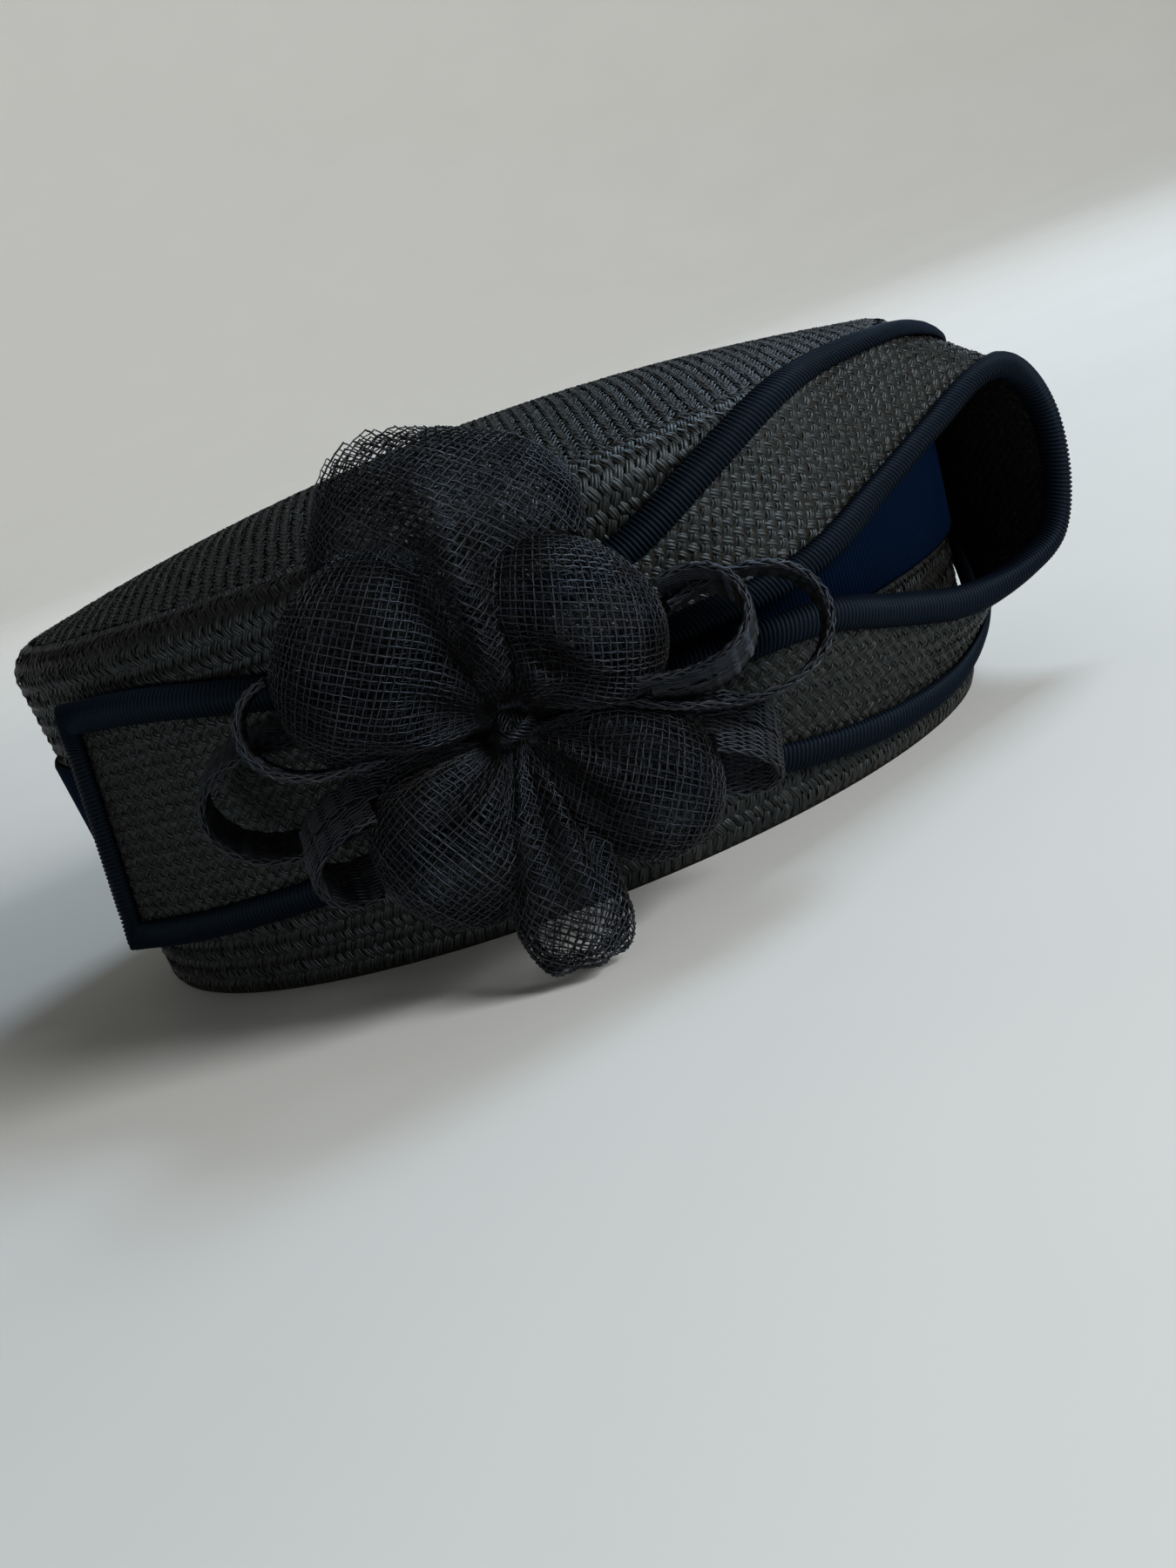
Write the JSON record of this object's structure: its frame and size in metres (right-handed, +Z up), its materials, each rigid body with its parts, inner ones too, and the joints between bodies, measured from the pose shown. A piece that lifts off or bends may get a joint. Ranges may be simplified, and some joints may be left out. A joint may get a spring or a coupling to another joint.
{
  "type": "pillbox hat",
  "caption": "Oval pillbox hat of black woven straw, with a navy ribbon, a bound straw bow with one large loop, and a puffed gauze flower with ribbon loops on its right side.",
  "frame": {"origin": "centre of the hat's bounding box, on the plane of the crown's rim", "axes": "+Z up from the rim, +X towards the wearer's front, so the flower is on -Y, the wearer's right"},
  "size_m": [0.2338, 0.2212, 0.0965],
  "materials": {
    "straw": "twill-woven black straw with a low sheen",
    "ribbon": "navy ribbed ribbon",
    "binding": "very dark navy ribbed binding",
    "gauze": "open-weave stiff black gauze"
  },
  "bodies": {
    "root": {"crown": "straw", "crown_ribbon": "ribbon", "tail_strip": "straw", "tail_binding": "binding", "loop_strip": "straw", "loop_binding_seat": "binding", "loop_binding_mouth": "binding", "flower_base": "gauze", "flower_knot": "gauze", "petal_upper_left": "gauze", "petal_upper_right": "gauze", "petal_lower_right": "gauze", "petal_lower_left": "gauze", "petal_top": "gauze", "petal_bottom": "gauze", "ribbon_loop_right_upper": "gauze", "ribbon_loop_right_middle": "gauze", "ribbon_loop_right_lower": "gauze", "ribbon_loop_left_upper": "gauze", "ribbon_loop_left_middle": "gauze", "ribbon_loop_left_lower": "gauze"}
  },
  "joints": []
}
